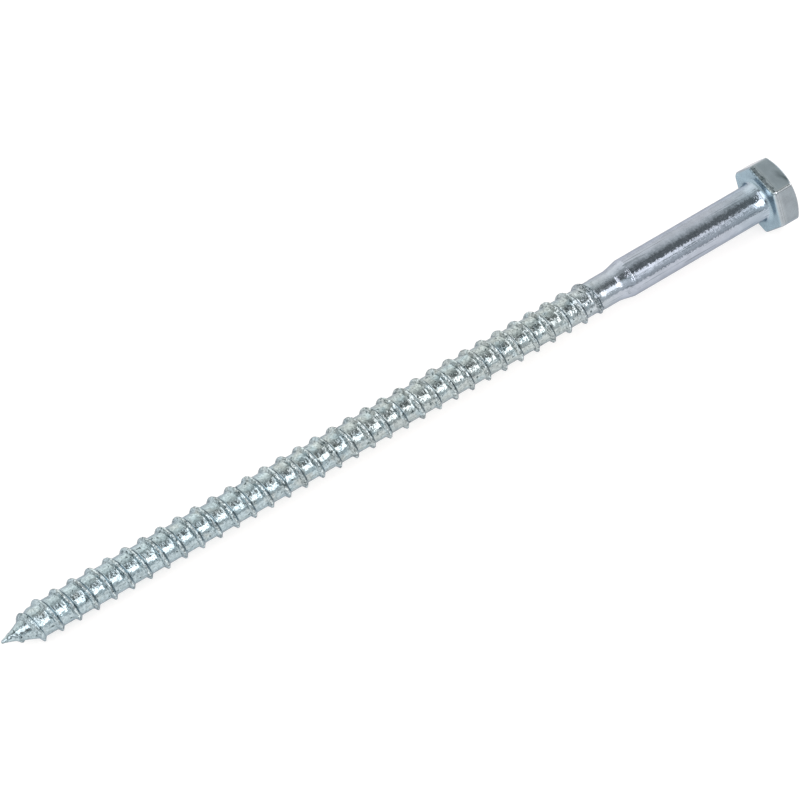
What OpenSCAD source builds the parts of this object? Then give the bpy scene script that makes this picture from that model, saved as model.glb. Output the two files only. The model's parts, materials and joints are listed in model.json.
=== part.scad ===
// Joist screw: a hexagon-head wood screw, forged and thread-rolled from one steel blank.
// It lies at rest along X, head at +X and point at -X, on a flat of the head and a thread crest.
// In its own modules the screw runs along Z: the bearing face is at z = 0, the point is above it.

/* [Head] */
// Width of the hexagon across its flats
head_af = 17; // [15:0.1:24]
// Height of the head above the bearing face
head_h = 6.4; // [4:0.1:10]
// How far the forging falls short of a sharp hexagon corner
corner_trim = 0.3; // [0.05:0.05:0.6]
// How far the round top face stays inside the flats
top_inset = 0.5; // [0.1:0.1:1]
// Slope of the chamfer round the top face
chamfer_angle = 30; // [15:1:40]
// Radius of the worn edge round the bearing face
edge_round = 0.7; // [0.2:0.1:1.2]
// Radius of the fillet between the head and the shank
head_fillet = 1; // [0.2:0.1:2]

/* [Shank] */
// Length from the bearing face to the end of the point
length = 220; // [120:1:320]
// Diameter of the plain shank
shank_d = 10; // [9:0.1:12]
// Length of the plain shank below the bearing face
shank_l = 41.2; // [20:0.1:60]
// Length of the tapered shoulder below the shank
shoulder_l = 3.8; // [1:0.1:6]
// Diameter of the plain neck between the shoulder and the thread
neck_d = 8.3; // [8.1:0.1:8.9]
// Length of the plain neck
neck_l = 7.4; // [4:0.1:12]
// Length over which the end of the neck tapers into the thread root
neck_taper = 0.6; // [0.2:0.1:1.5]

/* [Thread] */
// Diameter over the thread crests
crest_d = 9.8; // [8.8:0.1:10]
// Diameter at the thread root
root_d = 7.9; // [7:0.1:8]
// Advance of the thread in one turn
pitch = 4.84; // [3.5:0.01:6]
// Width of the thread ridge where it leaves the root
ridge_w = 1.8; // [1.2:0.1:2.4]
// Width of the flat on top of the ridge
crest_w = 0.5; // [0.2:0.1:0.8]
// Length over which the ridge rises at the neck
fade_l = 3.4; // [1:0.1:8]
// How far the foot of that rise lies back inside the neck
runout_l = 1.9; // [0:0.1:3]
// Angle about the axis at which the thread starts
thread_turn = 345; // [0:1:359]

/* [Point] */
// Length of the tapered core at the point
point_l = 9; // [6:0.1:16]
// Radius of the core just before the very end of the point
point_r = 0.35; // [0.1:0.05:0.6]
// Length of the core at the end of the point that has no ridge
bare_l = 1.5; // [0.5:0.1:3]
// Length over which the ridge rises on the point
point_fade = 4.5; // [1:0.1:8]

/* [Hidden] */

// Round facets, the straight sides of one thread turn and the bevels of the worn edge
$fn = 96;
turn_sides = 24;
edge_bevels = 3;
// Overlap that lets joined volumes share material
lap = 0.05;
// Radial step where the neck meets the thread root
root_step = 0.05;
zinc = [0.66, 0.70, 0.73];
full_turn = 360;

// Head
hex_sides = 6;
hex_half = full_turn / hex_sides / 2;
flat_r = head_af / 2;
corner_r = flat_r / cos(hex_half) - corner_trim;
top_r = flat_r - top_inset;
chamfer_drop = (corner_r - top_r) * tan(chamfer_angle);
bevel_turn = 90 / edge_bevels;

// Stations along the axis
shank_r = shank_d / 2;
neck_z = shank_l + shoulder_l;
thread_z = neck_z + neck_l;
rise_z = thread_z - runout_l;

// Thread: the strip starts a turn before the ridge rises and stops a bare length short of the point
root_r = root_d / 2;
crest_h = (crest_d - root_d) / 2;
strip_z = rise_z - pitch;
steps = floor((length - bare_l - ridge_w - strip_z) / pitch * turn_sides);
profile_z = [0, (ridge_w - crest_w) / 2, (ridge_w + crest_w) / 2, ridge_w];
profile_h = [0, 1, 1, 0];
corners = len(profile_z);

// Rest: the lower end of a flat and the last crest of full height both touch the floor
down_angle = 270;
full_z = length - max(point_l, bare_l + point_fade);
crest_z = strip_z + ridge_w / 2 + pitch * (down_angle - thread_turn) / full_turn;
contact_z = crest_z + pitch * floor((full_z - crest_z) / pitch);
rest_tilt = atan((flat_r - crest_d / 2) / (contact_z + edge_round));
axis_h = flat_r * cos(rest_tilt) - edge_round * sin(rest_tilt);
head_x = head_h * cos(rest_tilt) + top_r * sin(rest_tilt);
mid_x = (head_x - length * cos(rest_tilt)) / 2;

function limited(share) = max(0, min(1, share));
function core_r(z) = min(root_r, point_r + (root_r - point_r) * (length - z) / point_l);
function ridge_h(z) =
    crest_h * limited((z - rise_z) / fade_l) * limited((length - bare_l - z) / point_fade);
function strip_point(step, corner) =
    let (
        z = strip_z + pitch * step / turn_sides + profile_z[corner],
        r = core_r(z) + ridge_h(z) * profile_h[corner],
        turn = thread_turn + full_turn * step / turn_sides
    )
    [r * cos(turn), r * sin(turn), z];

// Hexagon of a given distance from the axis to its flats, tapering over its height
module hexagon(low_r, high_r, h) {
    cylinder(r1 = low_r / cos(hex_half), r2 = high_r / cos(hex_half), h = h, $fn = hex_sides);
}

// Hexagon prism with worn corners, a worn edge round the bearing face and a chamfered top
module head() {
    intersection() {
        union() {
            translate([0, 0, -head_h])
                hexagon(flat_r, flat_r, head_h - edge_round);
            for (i = [0 : edge_bevels - 1])
                translate([0, 0, edge_round * (sin(bevel_turn * i) - 1)])
                    hexagon(
                        flat_r - edge_round * (1 - cos(bevel_turn * i)),
                        flat_r - edge_round * (1 - cos(bevel_turn * (i + 1))),
                        edge_round * (sin(bevel_turn * (i + 1)) - sin(bevel_turn * i))
                    );
        }
        rotate_extrude()
            polygon([
                [0, 0],
                [corner_r, 0],
                [corner_r, -head_h + chamfer_drop],
                [top_r, -head_h],
                [0, -head_h]
            ]);
    }
}

// Fillet, plain shank, shoulder and neck, turned about one axis
module shank() {
    rotate_extrude()
        difference() {
            polygon([
                [0, -lap],
                [shank_r + head_fillet, -lap],
                [shank_r + head_fillet, 0],
                [shank_r, head_fillet],
                [shank_r, shank_l],
                [neck_d / 2, neck_z],
                [neck_d / 2, thread_z - neck_taper],
                [root_r + root_step, thread_z],
                [0, thread_z]
            ]);
            translate([shank_r + head_fillet, head_fillet])
                circle(r = head_fillet);
        }
}

// Root and ridge of the thread as one helical strip, closed by a fan at each end
module thread() {
    function index(step, corner) = step * corners + corner;
    neck_tip = (steps + 1) * corners;
    point_tip = neck_tip + 1;
    points = [
        for (step = [0 : steps], corner = [0 : corners - 1]) strip_point(step, corner),
        [0, 0, strip_z],
        [0, 0, length]
    ];
    ridge_faces = [
        for (step = [0 : steps - 1], corner = [0 : corners - 2])
            let (
                a = index(step, corner),
                b = index(step, corner + 1),
                c = index(step + 1, corner + 1),
                d = index(step + 1, corner)
            )
            each [[a, b, c], [a, c, d]]
    ];
    root_faces = [
        for (step = [0 : steps - turn_sides - 1])
            let (
                a = index(step, corners - 1),
                b = index(step + turn_sides, 0),
                c = index(step + turn_sides + 1, 0),
                d = index(step + 1, corners - 1)
            )
            each [[a, b, c], [a, c, d]]
    ];
    neck_loop = [
        for (step = [0 : turn_sides]) index(step, 0),
        for (corner = [corners - 1 : -1 : 1]) index(0, corner)
    ];
    point_loop = [
        for (step = [steps - turn_sides : steps]) index(step, corners - 1),
        for (corner = [corners - 2 : -1 : 0]) index(steps, corner)
    ];
    neck_faces = [
        for (i = [0 : len(neck_loop) - 1])
            [neck_loop[i], neck_loop[(i + 1) % len(neck_loop)], neck_tip]
    ];
    point_faces = [
        for (i = [0 : len(point_loop) - 1])
            [point_loop[(i + 1) % len(point_loop)], point_loop[i], point_tip]
    ];
    polyhedron(points, concat(ridge_faces, root_faces, neck_faces, point_faces));
}

// The whole screw, laid on the floor
module screw() {
    color(zinc)
        translate([-mid_x, 0, axis_h])
            rotate([0, -rest_tilt, 0])
                rotate([90, 0, -90]) {
                    head();
                    shank();
                    thread();
                }
}

screw();
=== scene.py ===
# Looks of the joist screw: one zinc-plated piece, modelled round its own axis and laid in the frame.
# In its own frame the screw runs along z, in millimetres: bearing face at 0, point above, head below.
import json
import math

import bmesh
import bpy
import numpy as np
from mathutils import Matrix, Vector, noise


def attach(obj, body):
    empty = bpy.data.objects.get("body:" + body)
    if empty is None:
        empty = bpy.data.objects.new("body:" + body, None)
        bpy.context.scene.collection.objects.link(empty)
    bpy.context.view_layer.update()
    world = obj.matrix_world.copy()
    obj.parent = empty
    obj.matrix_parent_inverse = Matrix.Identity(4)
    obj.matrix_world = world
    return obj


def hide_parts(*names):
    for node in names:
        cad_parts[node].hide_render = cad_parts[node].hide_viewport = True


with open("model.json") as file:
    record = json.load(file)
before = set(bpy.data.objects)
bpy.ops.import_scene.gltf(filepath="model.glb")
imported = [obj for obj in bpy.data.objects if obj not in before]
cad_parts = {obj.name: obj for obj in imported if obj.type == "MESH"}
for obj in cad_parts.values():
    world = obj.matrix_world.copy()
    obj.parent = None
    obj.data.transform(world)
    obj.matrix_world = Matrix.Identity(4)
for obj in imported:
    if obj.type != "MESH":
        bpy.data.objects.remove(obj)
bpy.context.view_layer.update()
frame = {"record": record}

MM = 0.001
MERGE_M = 1e-7
FULL_TURN = 2 * math.pi
SMALLEST_R = 1e-6

# Sizes and places that the frame's mounts give
mounts = {mount["name"]: mount for mount in frame["record"]["mounts"]}
SHANK_R = mounts["shank"]["dims"]["r_mm"]
CREST_R = mounts["wood_thread"]["dims"]["r_mm"]
HEAD_H = mounts["hex_drive"]["dims"]["length_mm"]
AXIS = Vector(mounts["shank"]["axis"]).normalized()
HEAD_TOP = Vector(mounts["hex_drive"]["pos_m"])

# Head: rounding and wear are how far short of a sharp hexagon each corner falls
FLAT_R = 8.5
HEX_SIDES = 6
HEX_TURN = math.radians(60)
SHARP_R = FLAT_R / math.cos(HEX_TURN / 2)
CORNER_ROUND = 0.09
CORNER_WEAR = 0.11
SIDE_CORNER_WEAR = 0.3
CORNER_POWER = math.log(2) / math.log(SHARP_R / (SHARP_R - CORNER_ROUND))
CORNER_R = SHARP_R - CORNER_WEAR
SIDE_CORNER_R = SHARP_R - SIDE_CORNER_WEAR
TOP_INSET = 0.5
TOP_R = FLAT_R - TOP_INSET
CHAMFER = math.tan(math.radians(30))
CHAMFER_SINK = 0.01
CHAMFER_BREAK_IN = 0.02
CHAMFER_BREAK_DOWN = 0.03
EDGE_ROUND = 0.95
FILLET = 1.0
FLARE = 0.42
FLARE_L = 3.8

# Shank, shoulder and neck
LENGTH = 220.0
SHOULDER_Z = 41.45
SHOULDER_L = 4.1
SHOULDER_CURVE = 1.15
# Distance past the start of the shoulder, and how far the surface has dropped there
SHOULDER_BREAK = [(-0.25, 0), (-0.1, 0), (-0.02, 0.02), (0.1, 0.06)]
NECK_R = 4.15
NECK_END = 51.8
NECK_STEP = 0.04
NECK_SOFT = 0.04
THREAD_Z = 52.4
ROOT_BLEND = 0.6
RING_Z = 46.2

# Thread
ROOT_R = 3.95
CREST_H = CREST_R - ROOT_R
PITCH = 4.84
CREST_HALF = 0.2
RIDGE_HALF = 0.87
ROOT_SOFT = 0.1
CREST_SOFT = 0.2
RISE_Z = 49.2
RISE_L = 3.0
CREST_ANGLE = math.radians(345)
CREST_Z = 46.56
BARE_L = 1.5
POINT_FADE = 4.5
# Distance from the very end and radius of the core there
POINT_CORE = [(0.0, 0.0), (0.05, 0.24), (0.16, 0.36), (1.4, 0.73), (2.7, 1.2), (9.0, ROOT_R)]

# Mesh: sides round the axis, and angle shares of one hexagon side, closer at its corners
SIDES = 96
HEX_SHARES = [0, 0.012, 0.021, 0.034, 0.06, 0.11, 0.2, 0.35,
              0.5, 0.65, 0.8, 0.89, 0.94, 0.966, 0.979, 0.988]
# Rows of the head, as shares of the stretch that they cross, and the bends of its worn edge
TOP_ROWS = [0.3, 0.6, 0.85, 0.97]
CHAMFER_ROWS = [0.0, 0.06, 0.35, 0.7, 0.93]
SIDE_ROWS = [0.03, 0.08, 0.25, 0.5, 0.75, 0.93, 0.98]
EDGE_BENDS = np.radians([0, 15, 30, 45, 60, 75, 90])
SEAT_ROWS = [0.08, 0.3, 0.55, 0.8, 0.95]
# Rows of the fillet, the shank and the shoulder
FILLET_BENDS = np.radians(np.linspace(0, 90, 9))
SHANK_STEP = 0.55
SHANK_GAP = 0.3
SHOULDER_ROWS = np.linspace(0.1, 1, 10)
# Rows across the ridge, in millimetres from its middle, and the number across the root
RIDGE_ROWS = [-1.0, -0.88, -0.76, -0.6, -0.42, -0.3, -0.2, -0.12, -0.05,
              0.02, 0.09, 0.17, 0.27, 0.4, 0.58, 0.75, 0.88, 1.0]
ROOT_ROWS = 6

# Camera: the photograph's viewing angle
VIEW_TARGET = Vector((-0.0011, 0.0013, 0.0085))
VIEW_DISTANCE = 0.8372
VIEW_TURN = math.radians(38.82)
VIEW_ELEVATION = math.radians(57.49)
VIEW_ROLL = math.radians(4.344)
VIEW_LENS = 158.11
VIEW_CLIP = 0.01


def smoothstep(value, low, high):
    share = np.clip((value - low) / (high - low), 0, 1)
    return share * share * (3 - 2 * share)


def stretch(value, rise_from, rise_to, fall_from, fall_to):
    """One along a stretch, rising smoothly at its start and falling at its end."""
    return smoothstep(value, rise_from, rise_to) * (1 - smoothstep(value, fall_from, fall_to))


def soft_floor(value, width):
    """Larger of value and zero, with a soft bend of that width."""
    return (value + np.sqrt(value * value + width * width)) / 2


def soft_max(a, b, width):
    return b + soft_floor(a - b, width)


def bell(value, middle, half):
    return np.exp(-((value - middle) / half) ** 2)


def grain(points, size, shift):
    """Smooth noise between about -1 and 1 at each point, with lumps of that size in millimetres."""
    return np.array([noise.noise(Vector(point)) for point in (points + shift) / size])


def to_share(value):
    """Takes a value between -1 and 1 to one between 0 and 1."""
    return 0.5 + 0.5 * value


# Shape of the head, shank and neck, as rings of points round the axis
def hex_radius(angle):
    """Hexagon with flats up and down, whose corners are rounded and worn, most of all at its sides."""
    facing = [np.abs(np.cos(angle - HEX_TURN * (k + 0.5))) for k in range(HEX_SIDES // 2)]
    reach = sum(share ** CORNER_POWER for share in facing)
    worn = np.where(np.abs(np.sin(angle)) < 0.5, SIDE_CORNER_R, CORNER_R)
    return np.minimum(FLAT_R / reach ** (1 / CORNER_POWER), worn)


def ring(angle, radius, z):
    radius = np.broadcast_to(radius, angle.shape)
    z = np.broadcast_to(z, angle.shape)
    return np.stack([radius * np.cos(angle), radius * np.sin(angle), z], axis=1)


def flare(z):
    """How far the shank widens towards the head, besides its fillet."""
    return FLARE * np.clip(1 - z / FLARE_L, 0, 1) ** 2


def head_rings(even, hexed):
    """Rings from the top of the head over its flats to the bearing face."""
    side = hex_radius(hexed)
    edge_z = -HEAD_H + (side - TOP_R) * CHAMFER
    seat_r = SHANK_R + FLARE + FILLET
    rings = []
    for share in TOP_ROWS:
        rings.append(ring(hexed, TOP_R * share, -HEAD_H))
    for share in CHAMFER_ROWS:
        radius = TOP_R + (side - TOP_R) * share
        rings.append(ring(hexed, radius, -HEAD_H + (radius - TOP_R) * CHAMFER + CHAMFER_SINK))
    rings.append(ring(hexed, side - CHAMFER_BREAK_IN, edge_z + CHAMFER_BREAK_DOWN))
    for share in SIDE_ROWS:
        rings.append(ring(hexed, side, edge_z + (-EDGE_ROUND - edge_z) * share))
    for bend in EDGE_BENDS:
        drop = EDGE_ROUND * (1 - math.cos(bend))
        rings.append(ring(hexed, side - drop, -EDGE_ROUND * (1 - math.sin(bend))))
    for share in SEAT_ROWS:
        angle = hexed + (even - hexed) * share
        rings.append(ring(angle, side - EDGE_ROUND + (seat_r - side + EDGE_ROUND) * share, 0))
    return rings


def turned_rings():
    """Rings from the top of the head to the neck, at which the thread takes over."""
    even = np.arange(SIDES) * FULL_TURN / SIDES
    sector = np.repeat(np.arange(HEX_SIDES), len(HEX_SHARES))
    hexed = (sector + np.tile(HEX_SHARES, HEX_SIDES)) * HEX_TURN
    rings = head_rings(even, hexed)
    for bend in FILLET_BENDS:
        z = FILLET * (1 - math.cos(bend))
        rings.append(ring(even, SHANK_R + flare(z) + FILLET * (1 - math.sin(bend)), z))
    for z in np.arange(FILLET + SHANK_STEP, SHOULDER_Z - SHANK_GAP, SHANK_STEP):
        rings.append(ring(even, SHANK_R + flare(z), z))
    for past, drop in SHOULDER_BREAK:
        rings.append(ring(even, SHANK_R - drop, SHOULDER_Z + past))
    for share in SHOULDER_ROWS:
        radius = NECK_R + (SHANK_R - NECK_R) * (1 - share) ** SHOULDER_CURVE
        rings.append(ring(even, radius, SHOULDER_Z + SHOULDER_L * share))
    rings.append(ring(even, NECK_R, RING_Z))
    return rings


# Shape of the thread, as a helical strip whose rows follow the ridge
def ridge_offset(angle, z):
    """Distance along the axis from the middle of the nearest ridge."""
    middle = CREST_Z + PITCH * (angle - CREST_ANGLE) / FULL_TURN
    return (z - middle + PITCH / 2) % PITCH - PITCH / 2


def ridge_share(offset):
    """Height of the ridge as a share of its full height."""
    def rounded(distance):
        climb = (RIDGE_HALF - distance) / (RIDGE_HALF - CREST_HALF)
        return soft_floor(climb, ROOT_SOFT) - soft_floor(climb - 1, CREST_SOFT)
    return rounded(np.abs(offset)) / rounded(0.0)


def ridge_rise(z):
    """Share of the ridge's full height that it has at that place along the axis."""
    rise = np.clip((z - RISE_Z) / RISE_L, 0, 1)
    fall = np.clip((LENGTH - BARE_L - z) / POINT_FADE, 0, 1)
    return rise * fall


def core_radius(z):
    from_end, radius = zip(*POINT_CORE)
    return np.interp(LENGTH - z, from_end, radius)


def thread_radius(angle, z):
    taper_end = THREAD_Z + ROOT_BLEND
    neck = np.interp(z, [NECK_END, THREAD_Z, taper_end], [NECK_R, ROOT_R + NECK_STEP, 0])
    rolled = core_radius(z) + CREST_H * ridge_rise(z) * ridge_share(ridge_offset(angle, z))
    blended = soft_max(rolled, neck, NECK_SOFT)
    return np.where(z < taper_end, np.maximum(blended, neck), rolled)


def thread_strip():
    """Grid of points: one row for each step round the axis, one column for each place across a turn."""
    valley = np.linspace(RIDGE_ROWS[-1], PITCH + RIDGE_ROWS[0], ROOT_ROWS + 2)[1:-1]
    across = np.concatenate([RIDGE_ROWS, valley])
    first = math.floor((RING_Z - across[-1] - PITCH - CREST_Z) / PITCH)
    last = math.ceil((LENGTH - CREST_Z) / PITCH) + 1
    step = np.arange((last - first) * SIDES + 1)
    turn = first + step / SIDES
    angle = np.repeat((CREST_ANGLE + FULL_TURN * turn)[:, None], len(across), axis=1)
    z = np.clip(CREST_Z + PITCH * turn[:, None] + across, RING_Z, LENGTH)
    radius = thread_radius(angle, z)
    return np.stack([radius * np.cos(angle), radius * np.sin(angle), z], axis=2)


def ring_faces(rings):
    """Quads between each ring and the next."""
    faces = []
    for row in range(rings - 1):
        for i in range(SIDES):
            j = (i + 1) % SIDES
            here, there = row * SIDES, (row + 1) * SIDES
            faces.append((here + i, here + j, there + j, there + i))
    return faces


def strip_faces(steps, across, start):
    """Quads inside the strip, and those that join each turn to the next."""
    faces = []
    for step in range(steps - 1):
        here = start + step * across
        for i in range(across - 1):
            faces.append((here + i, here + across + i, here + across + i + 1, here + i + 1))
        if step + 1 + SIDES < steps:
            onward = here + SIDES * across
            faces.append((here + across - 1, here + 2 * across - 1, onward + across, onward))
    return faces


def plain_mesh():
    """One closed mesh of the whole screw, in its own frame and in metres."""
    rings = turned_rings()
    strip = thread_strip()
    steps, across, _ = strip.shape
    ring_count = len(rings) * SIDES
    top = ring_count + steps * across
    points = np.concatenate([*rings, strip.reshape(-1, 3), [[0, 0, -HEAD_H]]]) * MM
    faces = ring_faces(len(rings)) + strip_faces(steps, across, ring_count)
    faces += [(top, (i + 1) % SIDES, i) for i in range(SIDES)]
    mesh = bpy.data.meshes.new("plated_screw")
    mesh.from_pydata(points.tolist(), [], faces)
    work = bmesh.new()
    work.from_mesh(mesh)
    bmesh.ops.remove_doubles(work, verts=work.verts, dist=MERGE_M)
    bmesh.ops.dissolve_degenerate(work, dist=MERGE_M, edges=work.edges)
    bmesh.ops.recalc_face_normals(work, faces=work.faces)
    work.to_mesh(mesh)
    work.free()
    return mesh


def own_points(mesh):
    flat = np.empty(len(mesh.vertices) * 3)
    mesh.vertices.foreach_get("co", flat)
    return flat.reshape(-1, 3) / MM


# Places along the screw at which its surface changes: from and to, or a stretch's rise and fall
ROLLED = (50, 53.5)
TINTED = (41, 64)
WRINKLED_START = (49.4, 50.6, 53.0, 55.5)
WRINKLED_POINT = (211, 213, 215.5, 217)
POINT_WRINKLE_SHARE = 0.6
SMOOTH_END = 1.2

# Marks that rolling, plating and handling left: how far each point lies inside the plain shape
LAP_DEPTH = 0.09
LAP_HALF = 0.085
LAP_EVEN = 0.55
LAP_VARIED = 0.45
LAP_WANDER = 0.12
CREST_WEAR = 0.05
ROOT_ROUGH = 0.035
ROUGH_SHARE = 0.7
FINE_ROUGH_SHARE = 0.3
WRINKLE = 0.10
SHANK_WAVE = 0.006
# Lump size of each mark's noise, and a shift that sets it apart from the others
WANDER_GRAIN = (1.7, 0)
LAP_GRAIN = (1.1, 31)
WEAR_GRAIN = (1.3, 57)
ROUGH_GRAIN = (0.8, 83)
FINE_ROUGH_GRAIN = (0.42, 11)
WRINKLE_GRAIN = (0.75, 7)
WAVE_GRAIN = (2.4, 3)


def wrinkled_zone(z):
    """Where the rolling dies first met the blank, and the pinched point."""
    start = stretch(z, *WRINKLED_START)
    return np.maximum(start, POINT_WRINKLE_SHARE * stretch(z, *WRINKLED_POINT))


def worked_depth(points):
    angle = np.arctan2(points[:, 1], points[:, 0])
    z = points[:, 2]
    offset = ridge_offset(angle, z)
    share = ridge_share(offset) * ridge_rise(z)
    zone = smoothstep(z, *ROLLED)
    wander = LAP_WANDER * grain(points, *WANDER_GRAIN)
    lap = bell(offset, wander, LAP_HALF) * (LAP_EVEN + LAP_VARIED * grain(points, *LAP_GRAIN))
    wear = to_share(grain(points, *WEAR_GRAIN))
    coarse = ROUGH_SHARE * grain(points, *ROUGH_GRAIN)
    rough = to_share(coarse + FINE_ROUGH_SHARE * grain(points, *FINE_ROUGH_GRAIN))
    depth = zone * share * (LAP_DEPTH * lap + CREST_WEAR * wear)
    depth += zone * (1 - share) * ROOT_ROUGH * rough
    depth += wrinkled_zone(z) * WRINKLE * to_share(grain(points, *WRINKLE_GRAIN))
    wave = (1 - zone) * SHANK_WAVE * to_share(grain(points, *WAVE_GRAIN))
    depth += np.where(z > FILLET, wave, 0)
    return depth * smoothstep(LENGTH - z, 0.0, SMOOTH_END)


# Marks on the head: a painted dark reflection as a streak, and the stain, partly painted shade, on the
# upper flat, in its own x and z
DARK_REFLECTION_FROM = np.array([0.4, -4.8])
DARK_REFLECTION_TO = np.array([4.2, -5.9])
DARK_REFLECTION_HALF = 0.42
FLAT_SKIN = 0.4
STAIN_AND_SHADE_Z = -0.5
STAIN_AND_SHADE_HALF = 0.6
STAIN_AND_SHADE_HEIGHT = (6.6, 7.3)
STAIN_AND_SHADE_ENDS = (4.6, 5.2)
# Worn corners, partly a painted highlight, by radius, and a worn band beside the bearing face, along z
CORNER_BAND = (CORNER_R - 0.12, CORNER_R - 0.02)
FAR_CORNER_SHARE = 0.1
WORN_BAND = 1.35
BAND_WEAR = 0.15
BAND_STRETCH = (-WORN_BAND - 0.1, -WORN_BAND, -0.4, -0.1)
# The end of the head, measured towards its top, the bearing face's film, and a painted reflection, a
# bright cyan patch, at its edge
HEAD_EDGE = (-0.9, 0.1)
SEAT_Z = -0.3
SEAT_STRETCH = (SEAT_Z, -0.12, 0.35, 0.9)
FILM_R = SHANK_R + 0.4
PAINTED_REFLECTION_AT = np.array([3.3, 7.4])
PAINTED_REFLECTION_HALF = 1.4
# The flat that is darker than the others, on the camera's side
DARKER_FLAT_SIDE = np.array([math.cos(HEX_TURN / 2), math.sin(HEX_TURN / 2)])
DARKER_FLAT_REACH = (FLAT_R - 0.3, FLAT_R - 0.05)
DARKER_FLAT_Z = -0.2

# Marks along the shank and thread: film beside the head, and seams with painted shade that pale towards
# the point
NECK_FILM = 0.45
NECK_FILM_FADE = (1, 16)
POINT_SEAM_FADE = (205.5, 209)
POINT_SEAM_LOSS = 0.8
# Dents: place along the screw and half width
FLARE_DENTS = (2.4, 1.3)
SHOULDER_DENTS = (41.8, 0.9)
# Place along the shank and roughness that the plate gains there, which the shoulder doesn't
SATIN = [(30, 0.03), (40, 0.05), (41.5, 0.0), (45, 0.0), (46.5, 0.08)]


def dark_reflection(points):
    """Painted dark reflection: a dark streak on the upper flat, beside the chamfer."""
    run = DARK_REFLECTION_TO - DARK_REFLECTION_FROM
    rel = points[:, [0, 2]] - DARK_REFLECTION_FROM
    share = np.clip(rel @ run / (run @ run), 0, 1)
    away = np.hypot(*(rel - share[:, None] * run).T)
    return bell(away, 0, DARK_REFLECTION_HALF) * (points[:, 1] > FLAT_R - FLAT_SKIN)


def stain_and_shade(points):
    """Darker band along the worn, rounded edge of the upper flat: partly stained, thinner plate and
    partly painted shade.
    """
    past_ends = smoothstep(np.abs(points[:, 0]), *STAIN_AND_SHADE_ENDS)
    along = smoothstep(points[:, 1], *STAIN_AND_SHADE_HEIGHT) * (1 - past_ends)
    return bell(points[:, 2], STAIN_AND_SHADE_Z, STAIN_AND_SHADE_HALF) * along


def worn(points, radius):
    """Bare zinc on the corners, partly a painted highlight that is strongest on the camera's side, and a
    little beside the bearing face.
    """
    z = points[:, 2]
    corner = smoothstep(radius, *CORNER_BAND) * (z < 0) * np.where(points[:, 0] > 0, 1, FAR_CORNER_SHARE)
    band = BAND_WEAR * stretch(z, *BAND_STRETCH)
    return np.maximum(corner, band * (radius > SHANK_R + FILLET))


def film(z, radius):
    """Bluish film on the bearing face, thinner on the shank beside it."""
    under = stretch(z, *SEAT_STRETCH) * (radius > FILM_R)
    return np.maximum(under, NECK_FILM * (1 - smoothstep(z, *NECK_FILM_FADE)) * (z > 0))


def marks(points):
    """Values for the material at each point, from 0 to 1, and the roughness of satin plate."""
    radius = np.hypot(points[:, 0], points[:, 1])
    z = points[:, 2]
    from_painted_reflection = np.hypot(*(points[:, :2] - PAINTED_REFLECTION_AT).T)
    return {
        "rolled": smoothstep(z, *ROLLED),
        "tint": smoothstep(z, *TINTED),
        "ridge": ridge_rise(z) * (1 - POINT_SEAM_LOSS * smoothstep(z, *POINT_SEAM_FADE)),
        "wrinkle": wrinkled_zone(z),
        "dented": np.maximum(bell(z, *SHOULDER_DENTS), bell(z, *FLARE_DENTS)),
        "satin": np.interp(z, *zip(*SATIN)),
        "head": smoothstep(-z, *HEAD_EDGE),
        "film": film(z, radius),
        "painted_reflection": bell(from_painted_reflection, 0, PAINTED_REFLECTION_HALF) * (z > SEAT_Z),
        "worn": worn(points, radius),
        "dark_reflection": dark_reflection(points),
        "stain_and_shade": stain_and_shade(points),
        "darker_flat": smoothstep(points[:, :2] @ DARKER_FLAT_SIDE, *DARKER_FLAT_REACH) * (z < DARKER_FLAT_Z),
    }


def placement():
    """Turns and moves the screw's own frame into the object's frame."""
    across = Vector((0, -1, 0))
    upward = AXIS.cross(across)
    bearing = HEAD_TOP + AXIS * HEAD_H * MM
    return Matrix.Translation(bearing) @ Matrix((across, upward, AXIS)).transposed().to_4x4()


def make_screw():
    mesh = plain_mesh()
    points = own_points(mesh)
    radius = np.maximum(np.hypot(points[:, 0], points[:, 1]), SMALLEST_R)
    inward = 1 - worked_depth(points) / radius
    moved = points * np.stack([inward, inward, np.ones_like(inward)], axis=1)
    mesh.vertices.foreach_set("co", (moved * MM).ravel())
    own = mesh.attributes.new("own", "FLOAT_VECTOR", "POINT")
    own.data.foreach_set("vector", points.astype(np.float32).ravel())
    for name, values in marks(points).items():
        mark = mesh.attributes.new(name, "FLOAT", "POINT")
        mark.data.foreach_set("value", values.astype(np.float32))
    mesh.transform(placement())
    mesh.shade_smooth()
    mesh.update()
    screw = bpy.data.objects.new("plated_screw", mesh)
    bpy.context.scene.collection.objects.link(screw)
    return screw


# Share of a line's half width over which it keeps its full strength
LINE_CORE = 0.3


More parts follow.
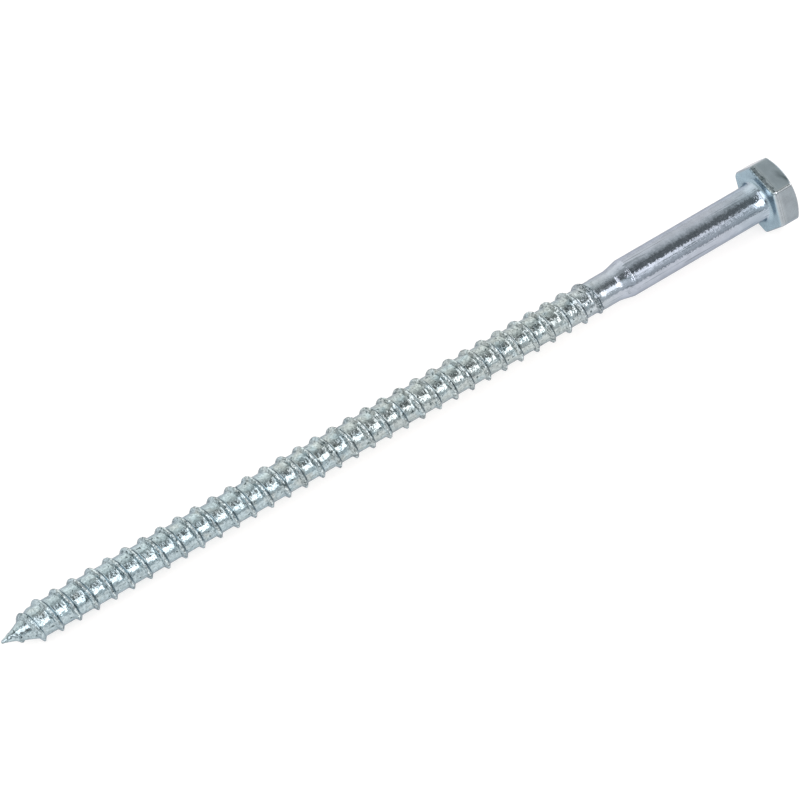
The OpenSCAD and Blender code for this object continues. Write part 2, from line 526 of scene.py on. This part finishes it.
class Graph:
    """Node tree whose nodes take plain values and other nodes' outputs alike."""

    def __init__(self, tree):
        self.tree = tree
        tree.nodes.clear()

    def add(self, kind, sockets, **settings):
        made = self.tree.nodes.new(kind)
        for name, value in settings.items():
            setattr(made, name, value)
        for key, value in sockets.items():
            if isinstance(value, bpy.types.NodeSocket):
                self.tree.links.new(value, made.inputs[key])
            else:
                made.inputs[key].default_value = value
        return made

    def attribute(self, name, output="Fac"):
        return self.add("ShaderNodeAttribute", {}, attribute_name=name).outputs[output]

    def math(self, operation, a, b=0.0):
        return self.add("ShaderNodeMath", {0: a, 1: b}, operation=operation).outputs[0]

    def sum(self, first, *others):
        for other in others:
            first = self.math("ADD", first, other)
        return first

    def product(self, first, *others):
        for other in others:
            first = self.math("MULTIPLY", first, other)
        return first

    def largest(self, first, *others):
        for other in others:
            first = self.math("MAXIMUM", first, other)
        return first

    def without(self, value):
        """One less the value."""
        return self.math("SUBTRACT", 1.0, value)

    def vector(self, operation, sockets):
        return self.add("ShaderNodeVectorMath", sockets, operation=operation).outputs[0]

    def noise(self, vector, scale, detail):
        sockets = {"Vector": vector, "Scale": scale, "Detail": detail}
        return self.add("ShaderNodeTexNoise", sockets).outputs[0]

    def along(self, own):
        """Place along the screw's own axis."""
        return self.add("ShaderNodeSeparateXYZ", {0: own}).outputs["Z"]

    def spread(self, value, low, high, to_low=0.0, to_high=1.0):
        """Smooth step from one value to another as the input goes from low to high."""
        sockets = {"Value": value, 1: low, 2: high, 3: to_low, 4: to_high}
        return self.add("ShaderNodeMapRange", sockets, interpolation_type="SMOOTHSTEP").outputs[0]

    def patches(self, vector, scale, detail, *levels):
        """Noise that is spread from its low and high values to two others."""
        return self.spread(self.noise(vector, scale, detail), *levels)

    def line(self, value, centre, half):
        """One where the value is at the centre, fading to zero that far on either side."""
        away = self.math("ABSOLUTE", self.math("SUBTRACT", value, centre))
        return self.spread(away, LINE_CORE * half, half, 1, 0)

    def window(self, value, low, high, soft):
        """One between low and high, with soft edges."""
        return self.product(
            self.spread(value, low - soft, low + soft),
            self.spread(value, high - soft, high + soft, 1, 0))

    def blend(self, share, a, b, blend_type="MIX"):
        sockets = {0: share, 6: a, 7: b}
        return self.add("ShaderNodeMix", sockets, data_type="RGBA", blend_type=blend_type).outputs[2]

    def shaded(self, colour, level):
        """Colour multiplied by a number that varies over the surface."""
        grey = self.add("ShaderNodeCombineColor", {0: level, 1: level, 2: level}).outputs[0]
        return self.blend(1.0, colour, grey, "MULTIPLY")

    def leaned(self, share):
        """Surface normal, leaned round the screw's axis by that share of its length."""
        normal = self.add("ShaderNodeNewGeometry", {}).outputs["Normal"]
        around = self.vector("CROSS_PRODUCT", {0: AXIS, 1: normal})
        lean = self.vector("SCALE", {0: around, "Scale": share})
        return self.vector("NORMALIZE", {0: self.vector("ADD", {0: normal, 1: lean})})

    def bump(self, height, distance, normal):
        sockets = {"Height": height, "Distance": distance, "Strength": 1.0, "Normal": normal}
        return self.add("ShaderNodeBump", sockets).outputs[0]


# Zinc plate: colours as they render under plain light
HEAD_ZINC = (0.375, 0.43, 0.47, 1)
DARKER_FLAT_ZINC = (0.285, 0.325, 0.355, 1)
SHANK_ZINC = (0.435, 0.475, 0.545, 1)
WARM_ZINC = (0.475, 0.53, 0.53, 1)
COOL_ZINC = (0.435, 0.53, 0.565, 1)
CREST_ZINC = (0.53, 0.59, 0.60, 1)
EDGE_TINT = (0.53, 0.56, 0.60, 1)
FILM_BLUE = (0.36, 0.475, 0.55, 1)
# Painted reflection: a bright cyan patch on the bearing face
PAINTED_REFLECTION_CYAN = (0.82, 0.95, 0.97, 1)
# Worn plate on the corners, partly a painted highlight, and on the band beside the bearing face
WORN_AND_HIGHLIT_ZINC = (0.88, 0.90, 0.92, 1)
# Dark seams, and painted shade in the creases at the ridge's feet
SEAM_AND_SHADE_DARK = (0.055, 0.085, 0.092, 1)
# How far each mark takes on its own colour
CREST_SHARE = 0.7
FILM_SHARE = 0.9
WEAR_AND_HIGHLIGHT_SHARE = 0.9
# Share of the painted dark reflection on the upper flat
DARK_REFLECTION_SHARE = 0.75
SCORE_SHARE = 0.3
SQUIGGLE_SHARE = 0.9

# Noise in the plate: scale per millimetre, detail, its low and high values, and what they spread to
CLOUDS = (0.28, 3, 0.3, 0.7, 0.92, 1.06)
MOTTLE = (1.5, 3, 0.3, 0.7, -0.2, 0.16)
GLINTS = (1.5, 2, 0.42, 0.58, 0.6, 1.45)
FLECKS = (2.6, 2, 0.60, 0.68, 0, 0.5)
PITS = (1.0, 1, 0.665, 0.73, 0, 0.9)
# Stain and painted shade on the upper flat: its ragged edge and its specks
STAIN_AND_SHADE_EDGE = (1.6, 3, 0.3, 0.7, -0.4, 0.3)
STAIN_AND_SHADE_SPECKS = (1.9, 1, 0.56, 0.64, 0.5, 0.95)
SEAM_WANDER = (0.8, 3, 0.25, 0.75, -0.3, 0.3)
SEAM_BREAKS = (1.0, 2, 0.42, 0.60, 0.05, 1)
ROUGH_PATCHES = (1.7, 3, 0.3, 0.7, -0.04, 0.06)
# Lean of the drawn shank's fine waves
RAGGED = (2.1, 2, 0.2, 0.8, -0.07, 0.07)
# Noise that isn't spread: scale per millimetre and detail
COOL_NOISE = (0.35, 2)
SQUIGGLE_NOISE = (0.9, 2)
FINE_NOISE = (0.95, 1.5)
COARSE_NOISE = (2.3, 1)
HEAD_NOISE = (0.5, 2)
DRAWN_NOISE = (1.0, 3)
# Stretch of the lines that drawing left along the shank, and how they spread to scratches
DRAWN_STRETCH = (2.4, 2.4, 0.06)
SCRATCHES = (0.58, 0.68, 0, 0.42)
# How the thread's tint cools along the screw, and how its noise and that of the stain and painted shade
# are spread
COOLER = (90, 200, -0.1, 0.2)
COOL_SPREAD = (0.35, 0.65)
STAIN_AND_SHADE_SPREAD = (0.35, 0.75)

# Seams along the ridge, with painted shade in the creases at its feet: place across it and half width,
# in millimetres, and darkness
POINT_FOOT = (0.72, 0.19, 0.55)
HEAD_FOOT = (-0.92, 0.12, 0.2)
CREST_SEAMS = [(-0.25, 0.12, 0.6), (0.25, 0.12, 0.6)]
FOOT_WANDER = 0.35
CREST_SHINE = (0.02, 0.38)
SCORE_HALF = 0.09
# Squiggles where the plate is wrinkled: the noise value that they follow, and their place on the ridge
SQUIGGLE_LINE = (0.5, 0.07)
SQUIGGLE_PLACE = (-0.1, 1.3)

# Roughness of the drawn and the rolled plate, and what each mark adds
PLAIN_ROUGH = 0.09
ROLLED_ROUGH = 0.16
SEAM_ROUGH = 0.25
CREST_ROUGH = 0.3
FILM_ROUGH = (0.5, 1, 0, 0.2)

# Depth of the fine relief, in metres
DRAWN_DEPTH = 1e-5
FINE_DEPTH = 1.3e-4
COARSE_DEPTH = 4e-5
CREST_COARSER = 1.6
HEAD_DEPTH = 4e-6
SEAM_DEPTH = 6e-5


def ridge_place(graph, own):
    """Distance in millimetres along the axis from the middle of the nearest ridge."""
    axes = graph.add("ShaderNodeSeparateXYZ", {0: own}).outputs
    turn = graph.math("DIVIDE", graph.math("ARCTAN2", axes["Y"], axes["X"]), FULL_TURN)
    along = graph.math("SUBTRACT", graph.math("DIVIDE", axes["Z"], PITCH), turn)
    start = CREST_Z / PITCH - CREST_ANGLE / FULL_TURN - 0.5
    share = graph.math("FRACT", graph.math("SUBTRACT", along, start))
    return graph.product(graph.math("SUBTRACT", share, 0.5), PITCH)


def seam_and_crease_shade(graph, own, place, wander):
    """Dark lines: seams that rolling left along the crest, lines at both feet of the ridge that are
    partly seams and partly painted shade in the creases, and squiggles where the plate is wrinkled.
    """
    wavy = graph.sum(place, wander)
    slight = graph.sum(place, graph.product(wander, FOOT_WANDER))
    broken = graph.patches(own, *SEAM_BREAKS)
    seams = [(slight, *POINT_FOOT), (slight, *HEAD_FOOT)]
    seams += [(wavy, *dark_lines) for dark_lines in CREST_SEAMS]
    lines = [
        graph.product(graph.line(across, centre, half), strength, broken)
        for across, centre, half, strength in seams]
    dark = graph.product(graph.largest(*lines), graph.attribute("ridge"))
    squiggle = graph.product(
        graph.line(graph.noise(own, *SQUIGGLE_NOISE), *SQUIGGLE_LINE),
        graph.line(place, *SQUIGGLE_PLACE))
    return graph.largest(dark, graph.product(squiggle, graph.attribute("wrinkle"), SQUIGGLE_SHARE))


def plate_tint(graph, own, head, crest):
    """Colour of the clean plate on the head, the shank and the thread."""
    flats = graph.blend(graph.attribute("darker_flat"), HEAD_ZINC, DARKER_FLAT_ZINC)
    plain = graph.blend(head, SHANK_ZINC, flats)
    cooler = graph.spread(graph.along(own), *COOLER)
    cool = graph.spread(graph.sum(graph.noise(own, *COOL_NOISE), cooler), *COOL_SPREAD)
    shiny = graph.shaded(CREST_ZINC, graph.patches(own, *GLINTS))
    thread = graph.blend(crest, graph.blend(cool, WARM_ZINC, COOL_ZINC), shiny)
    return graph.blend(graph.attribute("tint"), plain, thread)


def marked_tint(graph, own, colour, rolled):
    """Plate with its film, a painted reflection on the bearing face, bare edges that are partly a
    painted highlight, and with cloudy and mottled patches.
    """
    colour = graph.blend(graph.product(graph.attribute("film"), FILM_SHARE), colour, FILM_BLUE)
    colour = graph.blend(graph.attribute("painted_reflection"), colour, PAINTED_REFLECTION_CYAN)
    colour = graph.blend(graph.product(graph.attribute("worn"), WEAR_AND_HIGHLIGHT_SHARE), colour, WORN_AND_HIGHLIT_ZINC)
    colour = graph.shaded(colour, graph.patches(own, *CLOUDS))
    mottle = graph.product(graph.patches(own, *MOTTLE), rolled)
    return graph.shaded(colour, graph.sum(mottle, 1.0))


def head_darkness(graph, own, head):
    """Painted dark reflection as a streak, stain that is partly painted shade, and scored line on the
    head.
    """
    ragged_stain_and_shade = graph.sum(graph.attribute("stain_and_shade"), graph.patches(own, *STAIN_AND_SHADE_EDGE))
    specks = graph.patches(own, *STAIN_AND_SHADE_SPECKS)
    stained_and_shaded = graph.product(graph.spread(ragged_stain_and_shade, *STAIN_AND_SHADE_SPREAD), specks)
    score = graph.product(graph.line(graph.along(own), -WORN_BAND, SCORE_HALF), head, SCORE_SHARE)
    return graph.largest(graph.product(graph.attribute("dark_reflection"), DARK_REFLECTION_SHARE), stained_and_shaded, score)


def plate_roughness(graph, own, rolled, bare, dark_lines, crest):
    worked = graph.largest(
        graph.product(dark_lines, SEAM_ROUGH),
        graph.product(crest, CREST_ROUGH),
        graph.spread(graph.attribute("film"), *FILM_ROUGH))
    return graph.sum(
        graph.spread(rolled, 0, 1, PLAIN_ROUGH, ROLLED_ROUGH),
        graph.product(graph.attribute("satin"), bare),
        graph.patches(own, *ROUGH_PATCHES),
        worked)


def zinc():
    material = bpy.data.materials.new("zinc_plate")
    material.use_nodes = True
    graph = Graph(material.node_tree)
    own = graph.attribute("own", "Vector")
    rolled = graph.attribute("rolled")
    head = graph.attribute("head")
    bare = graph.product(graph.without(rolled), graph.without(head))

    place = ridge_place(graph, own)
    wander = graph.patches(own, *SEAM_WANDER)
    dark_lines = seam_and_crease_shade(graph, own, place, wander)
    shine = graph.line(graph.sum(place, wander), *CREST_SHINE)
    crest = graph.product(shine, graph.attribute("ridge"), CREST_SHARE)
    drawn = graph.noise(graph.vector("MULTIPLY", {0: own, 1: DRAWN_STRETCH}), *DRAWN_NOISE)
    scratch = graph.product(graph.spread(drawn, *SCRATCHES), bare)
    fleck = graph.product(graph.patches(own, *FLECKS), rolled)
    pit = graph.product(graph.patches(own, *PITS), rolled)

    colour = marked_tint(graph, own, plate_tint(graph, own, head, crest), rolled)
    dark = graph.largest(dark_lines, fleck, pit, scratch, head_darkness(graph, own, head))
    coarse = graph.largest(rolled, graph.attribute("dented"))
    coarse = graph.sum(coarse, graph.product(crest, CREST_COARSER))
    reliefs = [
        (drawn, bare, DRAWN_DEPTH),
        (graph.noise(own, *FINE_NOISE), rolled, FINE_DEPTH),
        (graph.noise(own, *COARSE_NOISE), coarse, COARSE_DEPTH),
        (graph.noise(own, *HEAD_NOISE), head, HEAD_DEPTH),
        (graph.largest(dark_lines, pit), -1.0, SEAM_DEPTH)]
    normal = graph.leaned(graph.product(graph.patches(own, *RAGGED), bare))
    for height, share, depth in reliefs:
        normal = graph.bump(graph.product(height, share), depth, normal)

    shader = graph.add("ShaderNodeBsdfPrincipled", {
        "Base Color": graph.blend(dark, colour, SEAM_AND_SHADE_DARK), "Metallic": 1.0,
        "Roughness": plate_roughness(graph, own, rolled, bare, dark_lines, crest), "Normal": normal,
        "Specular Tint": EDGE_TINT})
    graph.add("ShaderNodeOutputMaterial", {"Surface": shader.outputs[0]})
    return material


# Light: the room's brightness by the angle about the screw's length, from the back over the top, as
# the ridge's flank, the point, the thread's root and the shank mirror it
FLANK_ROOM = [(-180, 0.95), (-94, 0.70), (-60, 0.62), (-30, 0.58), (-22, 0.30), (58, 0.30), (66, 0.42),
              (86, 0.45), (94, 0.92), (180, 0.95)]
POINT_ROOM = [(-180, 0.95), (-94, 1.1), (-86, 1.3), (-60, 1.25), (-30, 1.1), (-22, 0.18), (-10, 0.14),
              (30, 0.30), (44, 0.14), (58, 0.16), (66, 0.70), (86, 0.78), (94, 0.92), (180, 0.95)]
THREAD_ROOM = [(-180, 0.95), (-94, 1.1), (-70, 1.42), (-46, 1.18), (-34, 0.92), (-22, 0.60), (-10, 0.34),
               (0, 0.18), (24, 0.17), (36, 0.80), (62, 0.82), (74, 0.76), (88, 0.62), (94, 0.92),
               (180, 0.95)]
SHANK_ROOM = [(-180, 0.95), (-94, 0.93), (-72, 0.96), (-58, 0.88), (-46, 0.87), (-34, 0.76), (-22, 0.62),
              (-10, 0.38), (-4, 0.19), (29, 0.19), (36, 0.48), (50, 0.52), (62, 0.64), (74, 0.65),
              (88, 0.42), (94, 0.60), (180, 0.95)]
ROOMS = [FLANK_ROOM, POINT_ROOM, THREAD_ROOM, SHANK_ROOM]
# Places along the length between which each room passes into the next
ROOM_EDGES = [(-0.68, -0.56), (-0.3, -0.05), (0.375, 0.395)]
ROOM_PEAK = 3.0
# Tint of the room at the back, overhead and at the front, with a row each for red, green and blue
TINT_TURNS = (-60, 10, 90)
TINTS = [(1.0, 0.90, 0.96), (0.985, 1.0, 1.0), (0.95, 1.0, 1.03)]

# Softboxes: from one angle to another about the length, from one place to another along it, brightness
SOFTBOXES = [
    ((-45, 45), (0.56, 1.05), 2.1),
    ((52, 94), (0.56, 1.05), 0.40),
    ((29, 60), (0.03, 0.368), 3.0),
    ((-12, 30), (0.03, 0.19), 1.8),
    ((29, 48), (0.36, 0.386), 2.5),
    ((30, 37), (0.38, 0.396), 1.1),
    ((33.5, 36), (0.39, 0.56), 1.3),
    ((-12, 40), (-1.05, -0.12), 2.2),
]
SOFTBOX_TINT = (1.02, 1.0, 1.01)
TURN_SOFT = 1.5
ALONG_SOFT = 0.012


def ramp_place(turn):
    """Place on a ramp of an angle between -180 and 180 degrees."""
    return (turn + 180) / 360


def room_ramp(graph, share, stops):
    made = graph.add("ShaderNodeValToRGB", {"Fac": share})
    ramp = made.color_ramp
    for turn, _ in stops[1:-1]:
        ramp.elements.new(ramp_place(turn))
    for element, (turn, level) in zip(ramp.elements, stops):
        tint = [np.interp(turn, TINT_TURNS, channel) for channel in TINTS]
        element.position = ramp_place(turn)
        element.color = [level * channel / ROOM_PEAK for channel in tint] + [1]
    return made.outputs["Color"]


def light_room():
    world = bpy.data.worlds.new("room")
    bpy.context.scene.world = world
    world.use_nodes = True
    graph = Graph(world.node_tree)
    direction = graph.add("ShaderNodeTexCoord", {}).outputs["Generated"]
    axes = graph.add("ShaderNodeSeparateXYZ", {0: direction}).outputs
    front = graph.product(axes["Y"], -1.0)
    turn = graph.product(graph.math("ARCTAN2", front, axes["Z"]), 360 / FULL_TURN)
    share = graph.sum(graph.math("DIVIDE", turn, 360), 0.5)
    colour = room_ramp(graph, share, ROOMS[0])
    for edges, stops in zip(ROOM_EDGES, ROOMS[1:]):
        colour = graph.blend(graph.spread(axes["X"], *edges), colour, room_ramp(graph, share, stops))
    for turns, places, level in SOFTBOXES:
        lit = graph.product(
            graph.window(turn, *turns, TURN_SOFT), graph.window(axes["X"], *places, ALONG_SOFT))
        lamp = [level * channel / ROOM_PEAK for channel in SOFTBOX_TINT] + [1]
        colour = graph.blend(lit, colour, lamp)
    background = graph.add("ShaderNodeBackground", {"Color": colour, "Strength": ROOM_PEAK})
    graph.add("ShaderNodeOutputWorld", {"Surface": background.outputs[0]})


FLOOR_HALF = 6.0
FLOOR_WHITE = (0.43, 0.412, 0.40, 1)
FLOOR_GLOW = 0.66


def make_floor():
    """Pale floor that keeps a light shadow and shows as white to the camera and in the metal."""
    mesh = bpy.data.meshes.new("floor")
    corners = [(-FLOOR_HALF, -FLOOR_HALF, 0), (FLOOR_HALF, -FLOOR_HALF, 0),
               (FLOOR_HALF, FLOOR_HALF, 0), (-FLOOR_HALF, FLOOR_HALF, 0)]
    mesh.from_pydata(corners, [], [(0, 1, 2, 3)])
    floor = bpy.data.objects.new("floor", mesh)
    bpy.context.scene.collection.objects.link(floor)
    material = bpy.data.materials.new("white_floor")
    material.use_nodes = True
    graph = Graph(material.node_tree)
    path = graph.add("ShaderNodeLightPath", {}).outputs
    seen = graph.largest(path["Is Camera Ray"], path["Is Glossy Ray"], path["Is Transmission Ray"])
    glow = graph.add("ShaderNodeEmission", {"Strength": graph.product(seen, FLOOR_GLOW)})
    matt = graph.add("ShaderNodeBsdfDiffuse", {"Color": FLOOR_WHITE})
    both = graph.add("ShaderNodeAddShader", {0: matt.outputs[0], 1: glow.outputs[0]})
    graph.add("ShaderNodeOutputMaterial", {"Surface": both.outputs[0]})
    mesh.materials.append(material)
    return floor


def make_camera():
    forward = Vector((
        math.sin(VIEW_TURN) * math.cos(VIEW_ELEVATION),
        math.cos(VIEW_TURN) * math.cos(VIEW_ELEVATION),
        -math.sin(VIEW_ELEVATION)))
    camera = bpy.data.objects.new("camera", bpy.data.cameras.new("camera"))
    camera.data.lens = VIEW_LENS
    camera.data.clip_start = VIEW_CLIP
    camera.location = VIEW_TARGET - forward * VIEW_DISTANCE
    level = forward.to_track_quat("-Z", "Y").to_matrix().to_4x4()
    rolled = level @ Matrix.Rotation(VIEW_ROLL, 4, "Z")
    camera.rotation_euler = rolled.to_euler()
    bpy.context.scene.collection.objects.link(camera)
    bpy.context.scene.camera = camera


bpy.context.scene.view_settings.view_transform = "Standard"
make_camera()
light_room()
make_floor()

screw = make_screw()
screw.data.materials.append(zinc())
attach(screw, "root")
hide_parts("screw")
